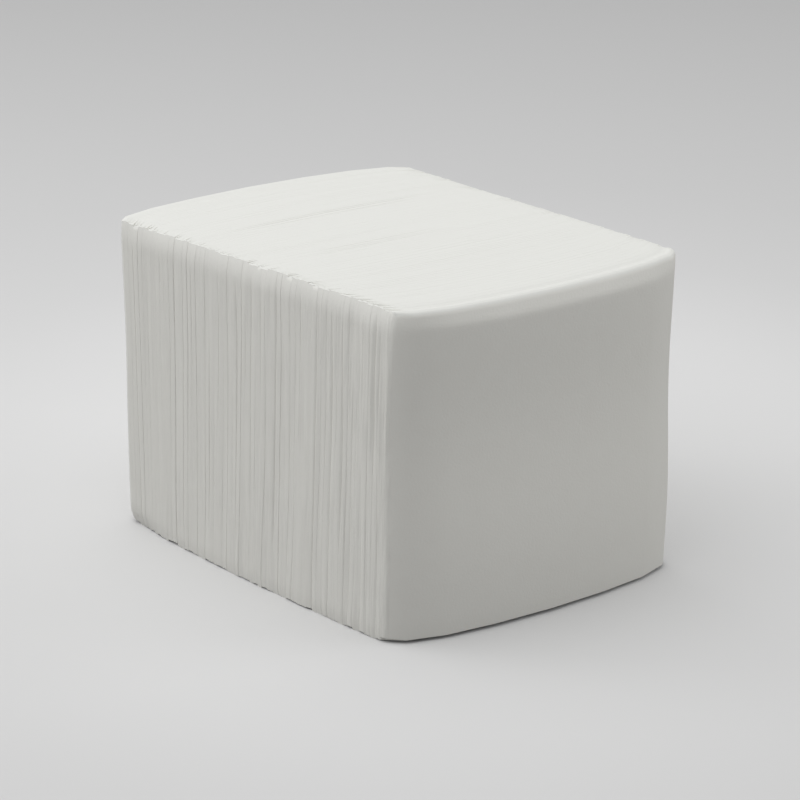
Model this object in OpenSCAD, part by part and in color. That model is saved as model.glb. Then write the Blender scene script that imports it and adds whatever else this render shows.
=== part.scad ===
// A stack of interfolded toilet tissue that stands on its cut edges.
// Each sheet is folded once, into a V with two panels. The sheets fold in turn at the left and at
// the right, and in each fold lie one panel of the sheet before and one of the sheet after, so that
// pulling one sheet out brings the next one with it.
// The frame: X runs across the folded sheets, Y along the stack from its front at -Y to its back,
// and Z up. The origin is on the ground, in the middle of the stack.

/* [Sheet] */
// Width of a folded sheet, across the stack
folded_width = 110; // [90:1:125]
// Height of a sheet between its two cut edges
sheet_height = 100; // [85:1:120]

/* [Stack] */
// Number of sheets in the stack
sheet_count = 110; // [80:2:130]
// Depth of the stack along its two sides, where the folds pinch it
side_depth = 133; // [110:1:160]
// How far the middle of the front and of the back swells out past the sides
swell = 11.5; // [4:0.5:14]
// Air between two panels that lie on each other
air_gap = 0.06; // [0.04:0.01:0.1]
// How far the inside of a fold runs on past the place where its panels begin to turn
crease_reach = 0.25; // [0.1:0.05:1]
// Air between that place and the free edges that are tucked into the fold
tuck_gap = 0.6; // [0.3:0.1:2]

/* [Unevenness] */
// How far the deepest fold lies behind the outermost ones
fold_scatter = 0.8; // [0.2:0.1:1.5]
// How far the lowest cut edge at the top lies below the highest
edge_scatter = 0.4; // [0.1:0.1:1.5]
// How much lower the front and the back sheet are, which rounds the stack's top there
edge_drop = 2.8; // [0:0.2:4]
// Number of sheets, from the front or the back, over which that drop dies away
drop_sheets = 5; // [1:1:10]

/* [Hidden] */

paper_white = [0.93, 0.93, 0.91];
// The swell falls off gently across the stack and steeply at the rounded corners by the folds.
gentle_power = 2;
corner_power = 10;
// Where the panels bend with the swell, as shares of the way from the middle to the folds
bend_shares = [0.45, 0.86];
// Straight pieces around a fold
fold_steps = 4;
scatter_seed = 7;

layer_count = 2 * sheet_count;
layer_pitch = side_depth / layer_count;
panel_thickness = layer_pitch - air_gap;
// A fold goes round four layers: its own two panels and the two that are tucked into it. The stack
// presses it flat, so that it reaches out by little more than its own thickness.
fold_reach = crease_reach + panel_thickness;
// The free edges end short of the deepest fold's bend.
free_edge_x = folded_width / 2 - fold_scatter - fold_reach - tuck_gap;

fold_depths = rands(0, fold_scatter, sheet_count, scatter_seed);
edge_depths = rands(0, edge_scatter, sheet_count, scatter_seed + 1);

function backwards(points) = [for (i = [len(points) - 1:-1:0]) points[i]];

panel_bend_shares = concat(-backwards(bend_shares), bend_shares);
panel_bend_xs = panel_bend_shares * folded_width / 2;

function swell_share(share) = 1 - (pow(abs(share), gentle_power) + pow(abs(share), corner_power)) / 2;

// Depth of the stack where the panels bend, and at its two sides
depth_at_bends = [
    for (share = concat([-1], panel_bend_shares, [1]))
        [share * folded_width / 2, side_depth + 2 * swell * swell_share(share)]
];

// Where a layer's front face lies along the stack. Layer 0 is the front one.
function layer_y(layer, x) = (layer / layer_count - 0.5) * lookup(x, depth_at_bends);

// The outermost two layers of a sheet, which are its own panels. Sheet 1 is the front one.
function first_layer(sheet) = sheet == 1 ? 0 : 2 * sheet - 3;
function last_layer(sheet) = sheet == sheet_count ? layer_count - 1 : 2 * sheet;

// One face of a panel, from its free edge to where the fold begins to turn.
function panel_face(layer, side, turn_x, offset) = [
    for (x = concat([-free_edge_x], panel_bend_xs, [turn_x]))
        [side * x, layer_y(layer, x) + offset]
];

// The outside of a fold, from its front panel to its back one, without the two ends.
function fold_round(front, end, side, turn_x) = [
    for (step = [1:fold_steps - 1])
        let (
            angle = 180 * step / fold_steps,
            x = turn_x + fold_reach * sin(angle),
            middle = (layer_y(front, x) + layer_y(end, x)) / 2,
            half_width = (layer_y(end, x) - layer_y(front, x) - air_gap) / 2
        )
        [side * x, middle - half_width * cos(angle)]
];

// A folded sheet seen from above. Its fold is at the left where side is -1, and else at the right.
module sheet_section(sheet, side) {
    front = first_layer(sheet);
    back = last_layer(sheet);
    end = back + 1;
    turn_x = folded_width / 2 - fold_depths[sheet - 1] - fold_reach;
    crease_x = turn_x + crease_reach;
    crease = [side * crease_x, (layer_y(front, crease_x) + layer_y(end, crease_x)) / 2];
    outside = concat(
        panel_face(front, side, turn_x, air_gap / 2),
        fold_round(front, end, side, turn_x),
        backwards(panel_face(end, side, turn_x, -air_gap / 2))
    );
    inside = concat(
        panel_face(front + 1, side, turn_x, -air_gap / 2),
        [crease],
        backwards(panel_face(back, side, turn_x, air_gap / 2))
    );
    polygon(concat(outside, backwards(inside)));
}

// How much of the drop a sheet gets: all of it at the front and the back, and none further in.
function drop_share(sheet) =
    let (sheets_from_end = min(sheet - 1, sheet_count - sheet))
    pow(max(0, 1 - sheets_from_end / drop_sheets), 2);

function sheet_top(sheet) = sheet_height - edge_depths[sheet - 1] - edge_drop * drop_share(sheet);

// Sheets with an odd number fold at the left, and those with an even one at the right.
module folded_sheet(sheet) {
    side = sheet % 2 == 1 ? -1 : 1;
    linear_extrude(height = sheet_top(sheet))
        sheet_section(sheet, side);
}

module front_sheet() {
    color(paper_white) folded_sheet(1);
}

module left_folded_sheets() {
    color(paper_white)
        for (sheet = [3:2:sheet_count - 1]) folded_sheet(sheet);
}

module right_folded_sheets() {
    color(paper_white)
        for (sheet = [2:2:sheet_count - 1]) folded_sheet(sheet);
}

module back_sheet() {
    color(paper_white) folded_sheet(sheet_count);
}

front_sheet();
left_folded_sheets();
right_folded_sheets();
back_sheet();
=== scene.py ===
import random
from math import cos, exp, pi, radians, sin

import bmesh
import bpy
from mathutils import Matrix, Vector, noise


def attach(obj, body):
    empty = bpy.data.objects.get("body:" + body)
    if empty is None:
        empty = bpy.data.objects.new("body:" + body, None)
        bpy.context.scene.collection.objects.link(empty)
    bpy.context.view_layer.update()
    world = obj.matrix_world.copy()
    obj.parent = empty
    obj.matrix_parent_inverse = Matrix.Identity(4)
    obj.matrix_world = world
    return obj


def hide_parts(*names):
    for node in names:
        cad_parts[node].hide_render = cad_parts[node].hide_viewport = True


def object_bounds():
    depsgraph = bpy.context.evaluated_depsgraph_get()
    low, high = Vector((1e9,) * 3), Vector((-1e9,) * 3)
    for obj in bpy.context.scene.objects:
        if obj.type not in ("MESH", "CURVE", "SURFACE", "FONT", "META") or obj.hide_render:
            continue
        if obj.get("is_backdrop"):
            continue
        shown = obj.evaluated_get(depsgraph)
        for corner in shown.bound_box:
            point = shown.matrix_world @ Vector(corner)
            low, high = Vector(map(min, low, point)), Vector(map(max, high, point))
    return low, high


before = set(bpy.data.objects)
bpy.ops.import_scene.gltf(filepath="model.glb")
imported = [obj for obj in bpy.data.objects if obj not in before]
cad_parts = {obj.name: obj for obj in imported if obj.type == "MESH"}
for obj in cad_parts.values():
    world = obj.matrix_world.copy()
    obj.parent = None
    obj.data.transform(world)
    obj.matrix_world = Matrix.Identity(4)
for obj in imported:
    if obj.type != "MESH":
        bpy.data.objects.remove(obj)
lowCorner, highCorner = (Vector(c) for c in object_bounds())
print("frame loaded:", sorted(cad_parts))

mm = 0.001

# The stack as it stands: X across the sheets, Y from the front to the back, Z up
stack = {
    "sheets": 110,
    "width": highCorner.x - lowCorner.x,
    "height": highCorner.z - lowCorner.z,
    "sideDepth": 133 * mm,        # front to back, along the folds
    "swell": 11 * mm,             # how far the middle stands out past the folds
    "gentlePower": 2,             # the swell falls off gently, and steeply by the folds
    "cornerPower": 10,
    "looseSheets": 3,             # sheets at each end that lie less tight
    "looseness": 0.55,            # and how much wider they lie
    "unevenPitch": 0.30,          # some sheets are pressed flatter than others
    "groupPitch": 1.2,            # as groups, and singly
    "singlePitch": 0.3,
    "pitchGrain": 0.21,
    "airShare": 0.005,            # of a layer's thickness
    # where the upright sides lean, at each corner: top or bottom, left or right, front or back
    "lean": {
        "topLeftFront": 1.6 * mm, "topLeftBack": -3.0 * mm,
        "bottomLeftFront": -1.0 * mm, "bottomLeftBack": -1.8 * mm,
        "topRightFront": 0.3 * mm, "topRightBack": 0.7 * mm,
        "bottomRightFront": -0.8 * mm, "bottomRightBack": -0.6 * mm,
    },
    "bulge": 1.9 * mm,            # how far the left side stands out near the ground
    "sideways": 0.9 * mm,         # the stack stands so far to the right that it leans out evenly
    # how far the left corners lie to the front, fading to the right, and how far the near one hangs
    "nearCornerForward": 0.8 * mm,
    "nearCornerFade": 1.3,        # the higher, the steeper
    "nearCornerDrop": 0.1 * mm,
    "farCornerForward": 1.2 * mm,
    "farCornerFade": 1.8,
    "farCornerEnd": 2 / 3,        # share of the width that it reaches
}
stack["layers"] = 2 * stack["sheets"]
stack["layerDepth"] = stack["sideDepth"] / stack["layers"]

# The folds, as they show at the sides. A grain is how fast a noise changes: per metre, or per sheet
# or layer where the noise runs over these.
fold = {
    "columns": 16,                # faces around a fold
    "insideReach": 0.10 * mm,     # how far the inside of a fold runs on past where it begins to turn
    "scatter": 0.06 * mm,         # how far some folds lie behind the others
    "groupScatter": 0.16 * mm,    # the same for groups of them
    "groupGrain": (0.31, 3),      # per sheet, and up the fold
    "looseReach": 5 * mm,         # the folds wander so far in from the sides
    "sway": 0.45 * mm,            # how much they wander to the front and back along their height
    "swayGrain": (170, 24),       # along the stack, and up it
    "billow": 0.27 * mm,          # how much groups of folds swell out and in
    "billowGrain": (95, 11),
    "ripple": 0.11 * mm,          # and single ones
    "rippleGrain": (380, 32),
    "frontUnrest": 2.5,           # how much stronger all this is near the front
    "unrestFrom": 0.62,           # it fades from this share of the depth before the middle on
    "pressed": 9 * mm,            # below the top edge the folds are pressed flat
    "grooveDepth": 0.32 * mm,     # between two folds, where it is open
    "deepestGroove": 0.58 * mm,
    "frontGrooves": 1.2,          # how open the grooves are at the front, and at the back
    "backGrooves": 0.75,
    "narrowGroove": 9,            # exponent of a fold's round where the groove is shut
    "wideGroove": 2.1,            # and where it is open
    "wideOpen": 1.5,              # how open it has to be for that
    "chanceOpening": 0.25,        # how open a groove that isn't listed may be by chance
    # grooves open in patches and in short lines, more of them near the front
    "patchOpening": 0.55,
    "patchGrain": (0.14, 18),     # per sheet, and up the fold
    "lineOpening": 0.6,
    "lineGrain": (2.9, 34),
    "frontOpening": 0.25,
    "frontOpeningFade": 2.2,      # that is gone after one part in so many of the depth
    "grooveFade": 0.2,            # share of the height over which a listed groove begins and ends
    # the deeper grooves between the left folds: share of the way from the back to the front, depth,
    # and the shares of the height between which they run
    "grooves": [
        (0.042, 0.8, 0, 0.95), (0.150, 0.4, 0.3, 0.9), (0.208, 0.85, 0, 0.9), (0.280, 0.8, 0.45, 0.95),
        (0.350, 0.7, 0.1, 0.8), (0.385, 0.5, 0.4, 0.9), (0.460, 0.8, 0, 0.9), (0.515, 0.6, 0.3, 0.95),
        (0.600, 0.9, 0.2, 0.95), (0.660, 0.5, 0, 0.6), (0.700, 0.7, 0.5, 0.95), (0.740, 0.8, 0, 0.8),
        (0.795, 1.0, 0, 0.92), (0.835, 0.9, 0.3, 0.9), (0.880, 0.7, 0, 0.7), (0.940, 1.9, 0.58, 0.98),
        (0.965, 0.8, 0, 0.9),
    ],
}

# The panels between the folds, and their cut edges
panel = {
    "columns": 8,
    "rows": 24,
    # how far below the top the rows lie, by their share: close together at both ends
    "rowPlaces": [(0, 0), (0.375, 8.6 * mm), (0.875, 93 * mm), (1, 100 * mm)],
    "outerEdgeGap": 0.4 * mm,     # how far a free edge ends from the side where no fold holds it
    "sharpAngle": radians(50),
    "edgeScatter": 0.014 * mm,    # how uneven the cut edges at the top are
    "edgeGrain": (0.9, 45),       # per sheet, and across it
    "groupScatter": 0.09 * mm,    # the same for groups of sheets
    "groupGrain": (0.11, 5),
    # sheets that lie lower over part of their length: share from the front, left and right end
    "sunk": [(0.72, -36 * mm, 36 * mm), (0.48, -34 * mm, 20 * mm)],
    "sunkDepth": 0.07 * mm,
    "sunkSheets": 2.0,
    "sunkFade": 10 * mm,
    "cornerScatter": 0.65 * mm,   # the edges are more uneven at the folds
    "rightCornerShare": 0.35,
    "cornerPower": 50,            # the higher, the closer to the fold that begins
    "cornerLevel": 0.4,           # how low all the corners lie, as a share, then groups and single ones
    "cornerGroups": 1.2,
    "cornerGroupGrain": 0.17,
    "cornerSingles": 1.1,
    "cornerSingleGrain": (0.5, 9),
    "lift": 0.3 * mm,             # how far some sheets end above the ground
    "liftGrain": (0.4, 18),
    "sideLift": 0.8 * mm,         # and more at the folds
    "sideLiftGrain": (0.45, 9),
    "sideLiftLevel": 0.35,
    "sideLiftPower": 12,
    "frontLift": 1.1 * mm,        # the same for the front sheets
    "frontLiftSheets": 4,
}

# How the stack's edges are rounded: slope is what the round has at the very edge
rounding = {
    "sideTop": {"reach": 7 * mm, "depth": 7 * mm, "slope": 0.30},
    "sideBottom": {"reach": 2.5 * mm, "depth": 6 * mm, "slope": 0.30},
    "endBottom": {"reach": 2.5 * mm, "depth": 8 * mm, "slope": 0.25},
    "upright": {"reach": 1.3 * mm, "depth": 3 * mm, "slope": 0.4},   # the corners between side and end
    "rightShare": 0.10,           # how much of the round at the left top edge the right one has
    "backCorner": 0.86,           # from this share of the depth on it gets flatter
    "backCornerShare": 0.35,
    "backShare": 0.40,            # how much of the front's round the back has
    "facePower": 1.5,             # how fast the lip and the wave die away behind the front
    "lipSlope": 0.36,             # the front leans back below its top edge
    "lipHeight": 3.8 * mm,
    "lipEnd": 5.0 * mm,
    "lipDepth": 8 * mm,
    "lipFade": 22 * mm,           # it fades towards the left corner, and gets lower
    "lipFadeRight": 12 * mm,      # and towards the right one
    "lipFadeSlope": 0.15,
    "lipFadeHeight": 0.5,
    "trough": 0.45 * mm,          # a shallow trough runs behind the front sheets
    "troughPlace": 5.6 * mm,
    "troughWidth": 2.0 * mm,
    "wave": 0.9 * mm,             # the front lies back below the lip and stands out near the ground
    "waveTop": 4 * mm,
    "waveMiddle": 17 * mm,
    "waveLength": 85 * mm,
    "waveDepth": 14 * mm,
    "waveFade": 20 * mm,          # it fades towards the upright edges
    "waveAtEdge": 0.4,
    "uneven": 0.35,               # how much the round at the ends comes and goes
    "unevenGrain": 38,
    "fineUneven": 0.6,
    "fineUnevenGrain": 90,
    "endDrop": 1.0 * mm,          # how much lower the top is at its very front and back
    "endDropDepth": 2.8 * mm,
    "dropFrom": 0.75,             # share of the height where the top's drop begins
    "cornerTuck": 1.0 * mm,       # the left back corner is rounded at the ground
    "cornerTuckHeight": 5 * mm,
    "cornerTuckFrom": 0.8,        # share of the depth where that begins
    "cornerTuckPower": 4,
}

# Which row of the noise each kind of unevenness reads, and how each kind of scatter is drawn
noiseRow = {
    "pitch": 3.1, "sway": 0, "billow": 5, "ripple": 9, "rightSide": 40,
    "uneven": 2, "fineUneven": 6, "edge": 1.3, "edgeGroup": 9.7,
    "cornerGroup": 21, "rightCornerGroup": 5, "cornerSingle": 2,
    "sideLift": 8.2, "lift": 5.5, "patch": 8.8, "leftPatch": 30, "line": 4.4, "foldGroup": 2.2,
}
seeds = {"pitch": 11, "grooves": 12, "cutEdge": (7, 5), "foldPlace": (31, 2)}


def smooth(share):
    share = min(1, max(0, share))
    return share * share * (3 - 2 * share)


def blend(low, high, share):
    return low + (high - low) * share


def unevenness(x, y, z):
    return noise.noise(Vector((x, y, z)))


def sheetDraw(sheet, kind):
    # The same random share each time for one sheet
    step, start = seeds[kind]
    return random.Random(sheet * step + start).random()


def swellShare(x):
    share = min(1, abs(2 * x / stack["width"]))
    return 1 - (share ** stack["gentlePower"] + share ** stack["cornerPower"]) / 2


def makeLayerPlaces():
    # How far along the stack each layer begins, from -0.5 at the front to 0.5 at the back
    rng = random.Random(seeds["pitch"])
    widths = []
    for layer in range(stack["layers"]):
        sheetsFromEnd = min(layer, stack["layers"] - 1 - layer) / 2
        loose = stack["looseness"] * smooth(1 - sheetsFromEnd / stack["looseSheets"])
        group = stack["groupPitch"] * unevenness(layer * stack["pitchGrain"], noiseRow["pitch"], 0)
        single = rng.uniform(-stack["singlePitch"], stack["singlePitch"])
        widths.append(1 + loose + stack["unevenPitch"] * (group + single))
    places = [0]
    for width in widths:
        places.append(places[-1] + width)
    return [place / places[-1] - 0.5 for place in places]


def makeGrooves():
    # How open each sheet's groove is by its place, and between which heights. A few are listed.
    rng = random.Random(seeds["grooves"])
    made = {}
    for sheet in range(stack["sheets"] + 3):
        made[sheet] = (fold["chanceOpening"] * rng.random() ** 2, 0, 1)
    for share, depth, low, high in fold["grooves"]:
        sheet = min(stack["sheets"], round(stack["sheets"] * (1 - share) / 2) * 2 + 1)
        made[sheet] = (depth, low, high)
        made[stack["sheets"] + 1 - sheet] = (depth, low, high)     # and the same at the right
    return made


layerPlaces = makeLayerPlaces()
grooves = makeGrooves()


def layerY(layer, x):
    # A layer's front face lies at its whole number, and a place inside it at a fraction
    whole = min(int(layer), stack["layers"] - 1)
    share = blend(layerPlaces[whole], layerPlaces[whole + 1], layer - whole)
    return share * (stack["sideDepth"] + 2 * stack["swell"] * swellShare(x))


def rounded(edge, fromFace, fromEdge):
    # How far a rounded edge draws in a point that lies so deep behind a face and so far from its edge
    near = max(0, 1 - fromFace / edge["depth"]) ** 2
    close = max(0, 1 - fromEdge / edge["reach"]) ** 2
    return edge["slope"] * edge["reach"] / 2 * near * close


def lip(fromFace, fromTop, height):
    # The same for the front, which leans back evenly at the top and turns upright with a soft crease
    near = max(0, 1 - fromFace / rounding["lipDepth"]) ** rounding["facePower"]
    top = rounding["lipHeight"] * height
    end = rounding["lipEnd"] * height
    if fromTop < top:
        return rounding["lipSlope"] * ((top + end) / 2 - fromTop) * near
    return rounding["lipSlope"] * max(0, end - fromTop) ** 2 / (2 * (end - top)) * near


def wave(fromFace, fromTop):
    # How far the front's slight wave draws it in here
    near = max(0, 1 - fromFace / rounding["waveDepth"]) ** rounding["facePower"]
    turn = 2 * pi / rounding["waveLength"]
    start = sin(turn * (rounding["waveTop"] - rounding["waveMiddle"]))
    here = sin(turn * (max(rounding["waveTop"], fromTop) - rounding["waveMiddle"]))
    return rounding["wave"] * (here - start) * near


def wander(x, y, z, fromSide):
    # The folds don't run quite straight up and don't lie quite flat
    loose = smooth(1 - fromSide / fold["looseReach"]) * smooth((stack["height"] - z) / fold["pressed"])
    loose *= blend(fold["frontUnrest"], 1, smooth(y / stack["sideDepth"] + fold["unrestFrom"]))
    sideRow = noiseRow["rightSide"] if x > 0 else 0

    def moved(kind):
        alongGrain, upGrain = fold[kind + "Grain"]
        return fold[kind] * unevenness(y * alongGrain, z * upGrain, sideRow + noiseRow[kind])

    return loose * moved("sway"), loose * (moved("billow") + moved("ripple"))


def sideLean(right, back, up):
    # How far the stack leans to the right here
    lean = stack["lean"]
    leftLean = blend(blend(lean["bottomLeftFront"], lean["bottomLeftBack"], back),
                     blend(lean["topLeftFront"], lean["topLeftBack"], back), up)
    rightLean = blend(blend(lean["bottomRightFront"], lean["bottomRightBack"], back),
                      blend(lean["topRightFront"], lean["topRightBack"], back), up)
    leftLean -= stack["bulge"] * (1 - up) ** 2 * (1 - (2 * back - 1) ** 2)
    return blend(leftLean, rightLean, right)


def cornerTuck(right, back, z):
    # How far the left back corner is drawn in at the ground
    near = smooth((back - rounding["cornerTuckFrom"]) / (1 - rounding["cornerTuckFrom"]))
    low = smooth(1 - z / rounding["cornerTuckHeight"])
    return rounding["cornerTuck"] * low * near * (1 - right) ** rounding["cornerTuckPower"]


def cornerForward(right, back):
    # How far the left corners lie to the front
    near = smooth(1 - 2 * back) * smooth(stack["nearCornerFade"] * (1 - right))
    far = smooth(2 * back - 1) * smooth(stack["farCornerFade"] * (stack["farCornerEnd"] - right))
    return stack["nearCornerForward"] * near + stack["farCornerForward"] * far


def drawnIn(fromSide, fromEnd, right, back, z):
    # How far the rounded edges draw a point in from the side
    flatter = smooth((back - rounding["backCorner"]) / (1 - rounding["backCorner"]))
    share = blend(1, rounding["rightShare"], right) * blend(1, rounding["backCornerShare"], flatter)
    drawn = rounded(rounding["sideTop"], fromSide, stack["height"] - z) * share
    drawn += rounded(rounding["sideBottom"], fromSide, z)
    return drawn + rounded(rounding["upright"], fromSide, fromEnd)


def pushedIn(x, z, fromSide, fromEnd, endShare, uneven):
    # How far the front or the back lies in from its place
    fromTop = stack["height"] - z
    fade = smooth((x + stack["width"] / 2) / rounding["lipFade"])
    fade = min(fade, smooth((stack["width"] / 2 - x) / rounding["lipFadeRight"]))
    height = uneven * blend(rounding["lipFadeHeight"], 1, fade)
    pushed = endShare * blend(rounding["lipFadeSlope"], 1, fade) * lip(fromEnd, fromTop, height)
    waveShare = endShare * blend(rounding["waveAtEdge"], 1, smooth(fromSide / rounding["waveFade"]))
    return pushed + waveShare * wave(fromEnd, fromTop) + rounded(rounding["endBottom"], fromEnd, z)


def lowered(fromEnd, right, back, endShare, uneven):
    # How much lower the top is here
    fromTrough = (fromEnd - rounding["troughPlace"]) / rounding["troughWidth"]
    drop = endShare * rounding["endDrop"] * max(0, 1 - fromEnd / rounding["endDropDepth"]) ** 2
    drop += endShare * uneven * rounding["trough"] * exp(-fromTrough ** 2)
    return drop + stack["nearCornerDrop"] * smooth(1 - 2 * back) * smooth(1 - 2 * right)


def settle(point):
    # Rounds the edges of the whole stack and lets it lean
    x, y, z = point
    side = 1 if x > 0 else -1
    end = 1 if y > 0 else -1
    halfDepth = 0.5 * stack["sideDepth"] + stack["swell"] * swellShare(x)
    fromSide = max(0, stack["width"] / 2 - abs(x))
    fromEnd = max(0, halfDepth - abs(y))
    up = z / stack["height"]
    right = x / stack["width"] + 0.5
    back = min(1, max(0, y / stack["sideDepth"] + 0.5))
    endShare = 1 if y < 0 else rounding["backShare"]
    coarse = unevenness(x * rounding["unevenGrain"], end, noiseRow["uneven"])
    fine = unevenness(x * rounding["fineUnevenGrain"], end, noiseRow["fineUneven"])
    uneven = 1 + rounding["uneven"] * (coarse + rounding["fineUneven"] * fine)
    along, out = wander(x, y, z, fromSide)
    across = stack["sideways"] + sideLean(right, back, up) + cornerTuck(right, back, z)
    across -= side * (drawnIn(fromSide, fromEnd, right, back, z) - out)
    along -= end * pushedIn(x, z, fromSide, fromEnd, endShare, uneven) + cornerForward(right, back)
    drop = lowered(fromEnd, right, back, endShare, uneven)
    drop *= smooth((up - rounding["dropFrom"]) / (1 - rounding["dropFrom"]))
    return Vector((x + across, y + along, z - drop))


def sunk(sheet, x):
    # How much lower than the others a sheet lies here, from 0 to 1
    deepest = 0
    for share, left, right in panel["sunk"]:
        near = 1 - abs(sheet - share * stack["sheets"]) / panel["sunkSheets"]
        inside = smooth((x - left) / panel["sunkFade"]) * smooth((right - x) / panel["sunkFade"])
        deepest = max(deepest, smooth(near) * inside)
    return deepest


def rowHeight(share):
    # How high a row of a sheet lies, by its share from the top
    for (above, top), (below, bottom) in zip(panel["rowPlaces"], panel["rowPlaces"][1:]):
        if share <= below:
            break
    return stack["height"] - blend(top, bottom, (share - above) / (below - above))


def sheetNoise(sheet, grain, row, place):
    # Unevenness from sheet to sheet, and along each one
    return unevenness(sheet * grain[0], noiseRow[row], place * grain[1])


def cutEdge(sheet, x):
    # How far a sheet's top edge lies below the tallest ones
    single = sheetDraw(sheet, "cutEdge") + 0.5 + sheetNoise(sheet, panel["edgeGrain"], "edge", x)
    group = 0.5 + sheetNoise(sheet, panel["groupGrain"], "edgeGroup", x)
    row = 0 if x < 0 else noiseRow["rightCornerGroup"]
    cornerGroup = unevenness(sheet * panel["cornerGroupGrain"], noiseRow["cornerGroup"], row)
    corner = panel["cornerLevel"] + panel["cornerGroups"] * cornerGroup
    corner += panel["cornerSingles"] * sheetNoise(sheet, panel["cornerSingleGrain"], "cornerSingle", x)
    atFold = abs(2 * x / stack["width"]) ** panel["cornerPower"]
    sideShare = 1 if x < 0 else panel["rightCornerShare"]
    low = panel["edgeScatter"] * single + panel["groupScatter"] * group
    low += panel["sunkDepth"] * sunk(sheet, x)
    return low + panel["cornerScatter"] * sideShare * max(0, corner) * atFold


def footEdge(sheet, x):
    # How far a sheet's lower edge lies above the ground
    fromEnd = min(sheet - 1, stack["sheets"] - sheet)
    atFold = abs(2 * x / stack["width"]) ** panel["sideLiftPower"]
    atSide = max(0, panel["sideLiftLevel"] + sheetNoise(sheet, panel["sideLiftGrain"], "sideLift", x))
    lifted = max(0, sheetNoise(sheet, panel["liftGrain"], "lift", x)) * panel["lift"]
    lifted += atSide * panel["sideLift"] * atFold
    return lifted + panel["frontLift"] * max(0, 1 - fromEnd / panel["frontLiftSheets"]) ** 2


def groove(sheet, z):
    # How open the groove between this sheet's fold and the one in front of it is at some height
    depth, low, high = grooves[sheet]
    up = z / stack["height"]
    begun = smooth((up - low) / fold["grooveFade"] + 0.5)
    ended = smooth((high - up) / fold["grooveFade"] + 0.5)
    sheetGrain, upGrain = fold["patchGrain"]
    row = noiseRow["patch"] + sheet % 2 * noiseRow["leftPatch"]
    patch = unevenness(sheet * sheetGrain, row, z * upGrain)
    patch += fold["frontOpening"] * smooth(1 - sheet / stack["sheets"] * fold["frontOpeningFade"])
    line = fold["lineOpening"] * sheetNoise(sheet, fold["lineGrain"], "line", z)
    opened = depth * begun * ended * (1 + line)
    opened += max(0, 1 - depth) * (fold["patchOpening"] * patch + line)
    opened *= blend(fold["frontGrooves"], fold["backGrooves"], sheet / stack["sheets"])
    return max(0, opened) * smooth((stack["height"] - z) / fold["pressed"])


def foldPlace(sheet, z):
    # Where a sheet's fold begins to turn, as a distance from the middle of the stack
    behind = fold["scatter"] * sheetDraw(sheet, "foldPlace")
    behind += fold["groupScatter"] * (0.5 + sheetNoise(sheet, fold["groupGrain"], "foldGroup", z))
    return stack["width"] / 2 - fold["insideReach"] - stack["layerDepth"] - behind


def foldSheet(mesh, sheet):
    # A flat sheet, folded once. Odd sheets fold at the left and even ones at the right.
    side = -1 if sheet % 2 else 1
    first = 0 if sheet == 1 else 2 * sheet - 3
    last = stack["layers"] - 1 if sheet == stack["sheets"] else 2 * sheet
    air = stack["airShare"] / 2
    noseStart = panel["columns"]
    noseEnd = noseStart + fold["columns"]
    columns = noseEnd + panel["columns"]
    # one unit wide and high, and so thick that its two faces can be told apart
    flat = bmesh.new()
    bmesh.ops.create_grid(flat, x_segments=columns, y_segments=panel["rows"], size=0.5)
    bmesh.ops.solidify(flat, geom=flat.faces[:] + flat.verts[:] + flat.edges[:], thickness=0.01)
    flat.normal_update()
    cut = flat.faces.layers.float.new("cut")
    for face in flat.faces:
        face[cut] = 1 - abs(face.normal.z)
    onFold = flat.verts.layers.float.new("onFold")
    middle = sum(vert.co.z for vert in flat.verts) / len(flat.verts)
    for vert in flat.verts:
        column = round((vert.co.x + 0.5) * columns)
        outside = vert.co.z > middle
        inNose = noseStart < column < noseEnd
        z = rowHeight(min(1, max(0, 0.5 - vert.co.y)))
        up = z / stack["height"]
        turn = foldPlace(sheet, z)
        halfWidth = (last + 1 - first) / 2 - air
        if not outside:
            halfWidth -= 1 - 2 * air
        if inNose:
            # straight out beside the next fold, then across the nose
            across = sin((2 * (column - noseStart - 1) / (fold["columns"] - 2) - 1) * pi / 2)
            opened = groove(sheet if across < 0 else sheet + 2, z)
            hollow = min(fold["deepestGroove"], fold["grooveDepth"] * opened)
            wide = min(1, opened / fold["wideOpen"])
            hollow *= abs(across) ** blend(fold["narrowGroove"], fold["wideGroove"], wide)
            x = turn + fold["insideReach"]
            if outside:
                x += stack["layerDepth"] - hollow
        else:
            across = -1 if column <= noseStart else 1
            share = column / noseStart if column <= noseStart else (columns - column) / noseStart
            share = 0.5 - 0.5 * cos(pi * share)        # more faces near the sides
            holder = sheet + across                    # the sheet whose fold holds this free edge
            inFold = 1 <= holder <= stack["sheets"]
            free = foldPlace(holder, z) if inFold else stack["width"] / 2 - panel["outerEdgeGap"]
            x = blend(-free, turn, share)
        x *= side
        layer = (first + last + 1) / 2 + across * halfWidth
        z = blend(footEdge(sheet, x), stack["height"] - cutEdge(sheet, x), up)
        vert.co = settle((x, layerY(layer, x), z))
        vert[onFold] = 1 if outside and inNose else 0
    bmesh.ops.recalc_face_normals(flat, faces=flat.faces)
    flat.to_mesh(mesh)
    flat.free()


def addObject(name, data):
    made = bpy.data.objects.new(name, data)
    bpy.context.collection.objects.link(made)
    return made


def makePiece(name, sheets, material):
    whole = bmesh.new()
    for sheet in sheets:
        one = bpy.data.meshes.new("oneSheet")
        foldSheet(one, sheet)
        whole.from_mesh(one)
        bpy.data.meshes.remove(one)
    mesh = bpy.data.meshes.new(name)
    for face in whole.faces:
        face.smooth = True
    whole.to_mesh(mesh)
    whole.free()
    mesh.set_sharp_from_angle(angle=panel["sharpAngle"])
    piece = addObject(name, mesh)
    mesh.materials.append(material)
    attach(piece, "root")
    print(name, "made of", len(sheets), "sheets,", len(mesh.polygons), "faces")
    return piece


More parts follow.
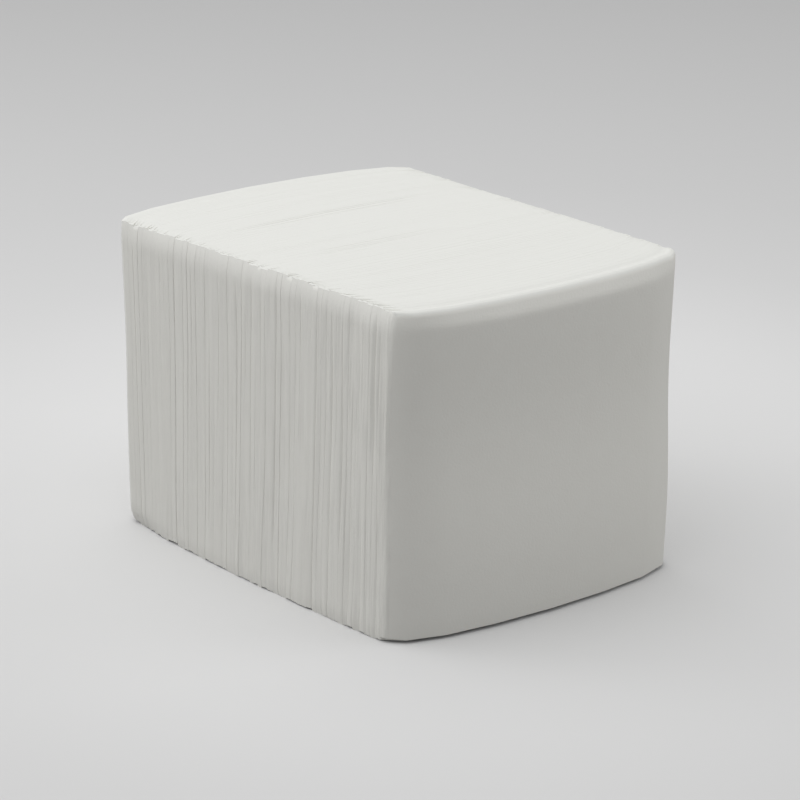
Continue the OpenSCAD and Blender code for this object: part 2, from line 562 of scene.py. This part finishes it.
def feed(tree, node, inputs):
    # Gives a node's inputs their values, or links other nodes' outputs to them
    for name, value in inputs.items():
        if isinstance(value, bpy.types.NodeSocket):
            tree.links.new(value, node.inputs[name])
        else:
            node.inputs[name].default_value = value


def addNode(tree, kind, inputs=None, **settings):
    node = tree.nodes.new("ShaderNode" + kind)
    for name, value in settings.items():
        setattr(node, name, value)
    feed(tree, node, inputs or {})
    return node


def noiseTexture(tree, vector, scale, detail, distortion=0):
    inputs = {"Vector": vector, "Scale": scale, "Detail": detail, "Distortion": distortion}
    return addNode(tree, "TexNoise", inputs).outputs["Fac"]


def mapRange(tree, value, fromRange, toRange, interpolation="LINEAR"):
    inputs = {
        "Value": value,
        "From Min": fromRange[0],
        "From Max": fromRange[1],
        "To Min": toRange[0],
        "To Max": toRange[1],
    }
    return addNode(tree, "MapRange", inputs, interpolation_type=interpolation).outputs["Result"]


def calculate(tree, operation, first, second, clamp=False):
    inputs = {0: first, 1: second}
    return addNode(tree, "Math", inputs, operation=operation, use_clamp=clamp).outputs["Value"]


def mixColours(tree, share, first, second, blending="MIX"):
    inputs = {"Factor": share, "A": first, "B": second}
    return addNode(tree, "Mix", inputs, data_type="RGBA", blend_type=blending).outputs["Result"]


tissue = {
    "colour": (0.795, 0.790, 0.750, 1),
    "shadedColour": (0.775, 0.766, 0.724, 1),
    "cutColour": (0.795, 0.798, 0.765, 1),
    "paintedEdgeGlow": (0.86, 0.855, 0.815, 1),    # painted light: a lighter colour that stands in for light coming through the folds just below the top
    "paintedGlowReach": 9 * mm,
    "paintedPanelGlow": 0.35,                      # how much of it the flat panels have
    "roughness": 0.95,
    "specular": 0.2,
    "mottleScale": 160,                     # soft cloudy variation of the paper
    "mottleDetail": 5,
    "fibreScale": 1400,
    "fibreDetail": 3,
    "fibreBump": 0.05 * mm,
    "creaseSpacing": 0.85 * mm,             # fine creases that run up the folds
    "creaseLength": 13 * mm,
    "creaseDetail": 2,
    "creaseDistortion": 0.4,
    "creaseBump": 0.20 * mm,
    "creaseShade": 0.09,                    # painted shade: how much darker the bottom of a crease is coloured
    "shadeRange": (0.25, 0.60),             # and between which values of its noise that changes
    "creaseZone": 22 * mm,                  # size of the patches that are creased more
    "zoneDetail": 1,
    "zoneRange": (0.35, 0.65),
    "zoneShares": (0.25, 1),                # how creased the calm and the creased ones are
    "creasedFront": 1.25,                   # creases are stronger near the front
    "creasedBack": 0.35,
}


def makeTissue():
    material = bpy.data.materials.new("tissuePaper")
    material.use_nodes = True
    tree = material.node_tree
    place = addNode(tree, "TexCoord").outputs["Object"]
    parts = addNode(tree, "SeparateXYZ", {"Vector": place}).outputs
    cut = addNode(tree, "Attribute", attribute_name="cut").outputs["Fac"]
    onFold = addNode(tree, "Attribute", attribute_name="onFold").outputs["Fac"]

    mottle = noiseTexture(tree, place, tissue["mottleScale"], tissue["mottleDetail"])
    tone = mixColours(tree, mottle, tissue["shadedColour"], tissue["colour"])

    # Creases on the folds, as bumps and as painted shade at their bottoms, stronger in some patches and
    # near the front
    stretch = (0, 1 / tissue["creaseSpacing"], 1 / tissue["creaseLength"])
    stretched = addNode(tree, "Mapping", {"Vector": place, "Scale": stretch}).outputs["Vector"]
    crease = noiseTexture(tree, stretched, 1, tissue["creaseDetail"], tissue["creaseDistortion"])
    zone = noiseTexture(tree, place, 1 / tissue["creaseZone"], tissue["zoneDetail"])
    creased = mapRange(tree, zone, tissue["zoneRange"], tissue["zoneShares"])
    stackReach = (-stack["sideDepth"] / 2, stack["sideDepth"] / 2)
    creasedShares = (tissue["creasedFront"], tissue["creasedBack"])
    towardsFront = mapRange(tree, parts["Y"], stackReach, creasedShares)
    patched = calculate(tree, "MULTIPLY", creased, towardsFront)
    strength = calculate(tree, "MULTIPLY", patched, onFold, clamp=True)
    shade = mapRange(tree, crease, tissue["shadeRange"], (1 - tissue["creaseShade"], 1))
    shaded = mixColours(tree, strength, tone, shade, "MULTIPLY")

    # Painted light: the paper is coloured lighter just below the cut edges at the top, in place of
    # light that comes through it
    glowRange = (stack["height"] - tissue["paintedGlowReach"], stack["height"])
    nearTop = mapRange(tree, parts["Z"], glowRange, (0, 1), "SMOOTHSTEP")
    onFace = calculate(tree, "SUBTRACT", nearTop, cut, clamp=True)
    folded = mapRange(tree, onFold, (0, 1), (tissue["paintedPanelGlow"], 1))
    paintedGlowShare = calculate(tree, "MULTIPLY", onFace, folded)
    glow = mixColours(tree, paintedGlowShare, shaded, tissue["paintedEdgeGlow"])
    paper = mixColours(tree, cut, glow, tissue["cutColour"])

    fibre = noiseTexture(tree, place, tissue["fibreScale"], tissue["fibreDetail"])
    fibreBump = addNode(tree, "Bump", {"Distance": tissue["fibreBump"], "Height": fibre})
    creaseBump = addNode(tree, "Bump", {
        "Distance": tissue["creaseBump"],
        "Strength": strength,
        "Height": crease,
        "Normal": fibreBump.outputs["Normal"],
    })
    feed(tree, tree.nodes["Principled BSDF"], {
        "Base Color": paper,
        "Roughness": tissue["roughness"],
        "Specular IOR Level": tissue["specular"],
        "Normal": creaseBump.outputs["Normal"],
    })
    return material


tissuePaper = makeTissue()
last = stack["sheets"]
frontSheet = makePiece("frontSheet", [1], tissuePaper)
leftFolds = makePiece("leftFoldedSheets", list(range(3, last, 2)), tissuePaper)
rightFolds = makePiece("rightFoldedSheets", list(range(2, last, 2)), tissuePaper)
backSheet = makePiece("backSheet", [last], tissuePaper)
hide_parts("front_sheet")
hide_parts("left_folded_sheets")
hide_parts("right_folded_sheets")
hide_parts("back_sheet")

view = {
    "lens": 148.1,
    "sensorWidth": 36,
    "farthest": 50,
    "azimuth": radians(-37.79),
    "elevation": radians(17.80),
    "distance": 1.0232,
    "aimRight": 1.32 * mm,
    "aimUp": -3.43 * mm,
    "aimHeight": 49.95 * mm,
}


def makeCamera():
    azimuth, elevation = view["azimuth"], view["elevation"]
    forward = Vector((-sin(azimuth) * cos(elevation), cos(azimuth) * cos(elevation), -sin(elevation)))
    right = Vector((cos(azimuth), sin(azimuth), 0))
    up = right.cross(forward)
    aim = Vector((stack["sideways"], 0, view["aimHeight"]))
    aim += view["aimRight"] * right + view["aimUp"] * up
    data = bpy.data.cameras.new("camera")
    data.lens = view["lens"]
    data.sensor_width = view["sensorWidth"]
    data.clip_end = view["farthest"]
    camera = addObject("camera", data)
    camera.location = aim - forward * view["distance"]
    camera.rotation_euler = forward.to_track_quat("-Z", "Y").to_euler()
    bpy.context.scene.camera = camera


studio = {
    "floorSize": 12,
    "floorRoughness": 0.9,
    # painted light: how light the floor is painted at some distances from the middle of an oval pool of
    # light, darker towards the edges and a little darker right by the stack, which deepens its shadow
    "paintedLightTones": [
        (0.05, 0.73), (0.14, 0.735), (0.20, 0.71), (0.28, 0.64),
        (0.40, 0.60), (0.60, 0.575), (0.95, 0.53),
    ],
    "poolMiddle": (0.062, 0.034, 0),
    "poolShape": (1 / 1.2, 1, 1),            # across and along the view
    "floorBounce": (0.20, 0.20, 0.20, 1),    # what the floor throws back at the stack
    "worldColour": (1, 1, 1, 1),
    "worldStrength": 0.54,
    "lamps": {                               # place, size, power
        "key": ((-0.46, 0.40, 1.10), 2.4, 14.2),
        "fill": ((1.10, -0.80, 0.40), 0.9, 4.1),
        "side": ((-0.50, 0.66, 0.28), 0.35, 0.85),
    },
}


def makeFloor():
    floorMesh = bmesh.new()
    bmesh.ops.create_grid(floorMesh, x_segments=1, y_segments=1, size=studio["floorSize"] / 2)
    mesh = bpy.data.meshes.new("floor")
    floorMesh.to_mesh(mesh)
    floorMesh.free()
    floor = addObject("floor", mesh)
    material = bpy.data.materials.new("floorPaintedLight")
    material.use_nodes = True
    tree = material.node_tree
    place = addNode(tree, "TexCoord").outputs["Object"]
    oval = addNode(tree, "Mapping", {
        "Vector": place,
        "Location": studio["poolMiddle"],
        "Rotation": (0, 0, view["azimuth"]),
        "Scale": studio["poolShape"],
    }, vector_type="TEXTURE").outputs["Vector"]
    fromMiddle = addNode(tree, "VectorMath", {0: oval}, operation="LENGTH").outputs["Value"]
    pool = addNode(tree, "ValToRGB", {"Fac": fromMiddle})
    pool.color_ramp.interpolation = "B_SPLINE"
    (firstPlace, firstTone), *others, (lastPlace, lastTone) = studio["paintedLightTones"]
    stops = pool.color_ramp.elements
    stops[0].position = firstPlace
    stops[0].color = (firstTone, firstTone, firstTone, 1)
    stops[1].position = lastPlace
    stops[1].color = (lastTone, lastTone, lastTone, 1)
    for distance, grey in others:
        stops.new(distance).color = (grey, grey, grey, 1)
    # the camera sees the painted pool of light, while the stack is lit by the plain bounce colour
    seen = addNode(tree, "LightPath").outputs["Is Camera Ray"]
    tone = mixColours(tree, seen, studio["floorBounce"], pool.outputs["Color"])
    feed(tree, tree.nodes["Principled BSDF"], {
        "Base Color": tone,
        "Roughness": studio["floorRoughness"],
    })
    mesh.materials.append(material)
    floor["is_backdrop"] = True


def makeLights():
    world = bpy.data.worlds.new("studio")
    bpy.context.scene.world = world
    world.use_nodes = True
    feed(world.node_tree, world.node_tree.nodes["Background"], {
        "Color": studio["worldColour"],
        "Strength": studio["worldStrength"],
    })
    for name, (place, size, power) in studio["lamps"].items():
        light = bpy.data.lights.new(name, "AREA")
        light.size = size
        light.energy = power
        lamp = addObject(name, light)
        lamp.location = place
        lamp.rotation_euler = (-lamp.location).to_track_quat("-Z", "Y").to_euler()


makeFloor()
makeLights()
makeCamera()
bpy.context.scene.view_settings.view_transform = "Standard"
print("studio set")
